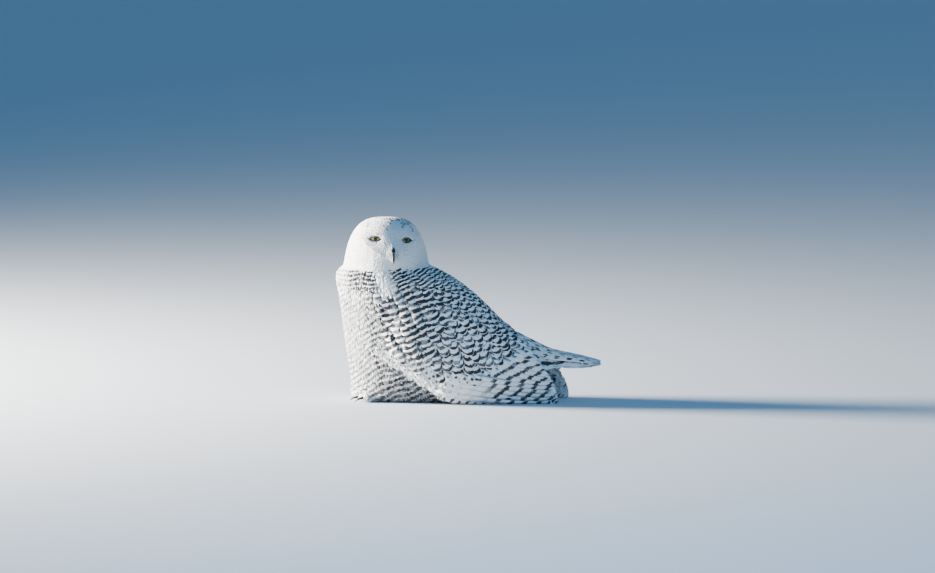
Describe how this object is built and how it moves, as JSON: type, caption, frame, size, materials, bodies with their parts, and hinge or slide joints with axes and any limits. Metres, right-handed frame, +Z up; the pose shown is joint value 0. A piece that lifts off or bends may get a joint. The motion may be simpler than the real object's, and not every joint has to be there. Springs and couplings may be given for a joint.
{
  "type": "snowy owl",
  "caption": "Life-size snowy owl crouched on level ground with folded wings and its head turned to look out over its left side.",
  "frame": {"origin": "on the floor under the middle of the belly, in the bird's mid plane", "axes": "+X towards the tail, so the body heads along -X; +Y to the bird's right side; +Z up"},
  "size_m": [0.5605, 0.2498, 0.384],
  "materials": {
    "white_plumage": "soft matt feathers",
    "barred_plumage": "soft matt white feathers barred with slate brown",
    "bill": "satin horn",
    "claw": "satin horn",
    "iris": "wet gloss"
  },
  "bodies": {
    "root": {"bill_upper": "bill", "bill_lower": "bill", "head": "white_plumage", "neck": "barred_plumage", "trunk": "white_plumage", "rump": "barred_plumage", "tail": "barred_plumage", "eye_left": "iris", "eye_right": "iris", "wing_left": "barred_plumage", "wing_right": "barred_plumage", "primaries_left": "barred_plumage", "primaries_right": "barred_plumage", "leg_left": "white_plumage", "leg_right": "white_plumage", "foot_left": "white_plumage", "foot_right": "white_plumage", "claw_left_1": "claw", "claw_left_2": "claw", "claw_left_3": "claw", "claw_left_4": "claw", "claw_right_1": "claw", "claw_right_2": "claw", "claw_right_3": "claw", "claw_right_4": "claw"}
  },
  "joints": []
}
